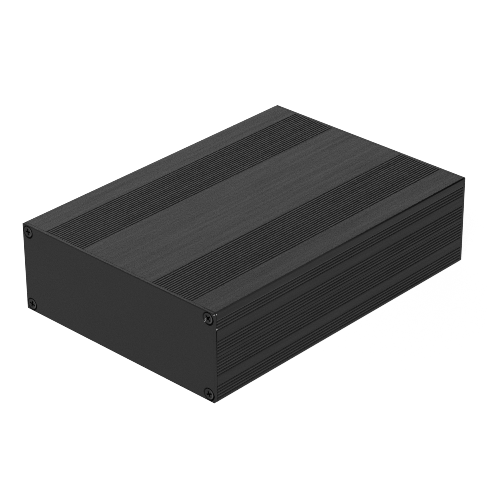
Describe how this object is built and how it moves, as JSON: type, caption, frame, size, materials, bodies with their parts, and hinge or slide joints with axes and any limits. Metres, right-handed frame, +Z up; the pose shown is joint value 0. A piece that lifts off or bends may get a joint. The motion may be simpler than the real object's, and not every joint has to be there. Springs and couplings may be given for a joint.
{
  "type": "extruded aluminium enclosure",
  "caption": "Flat black anodised enclosure made of two keyed extruded half shells with grooved outer walls, closed at each end by a flat panel held with countersunk screws.",
  "frame": {"origin": "centre of the underside, where the case rests", "axes": "+Z up, +Y along the extrusion towards the rear panel, -Y out of the front panel, +X across the case to the right as seen from the front"},
  "size_m": [0.145, 0.207, 0.054],
  "materials": {
    "shell": "black anodised over fine extrusion lines, satin",
    "panel": "black anodised over a fine blasted surface, matte",
    "screw": "black zinc plated steel, satin"
  },
  "bodies": {
    "root": {"upper_shell": "shell", "lower_shell": "shell", "front_panel": "panel", "rear_panel": "panel", "front_screw_top_left": "screw", "front_screw_top_right": "screw", "front_screw_bottom_left": "screw", "front_screw_bottom_right": "screw", "rear_screw_top_left": "screw", "rear_screw_top_right": "screw", "rear_screw_bottom_left": "screw", "rear_screw_bottom_right": "screw"}
  },
  "joints": []
}
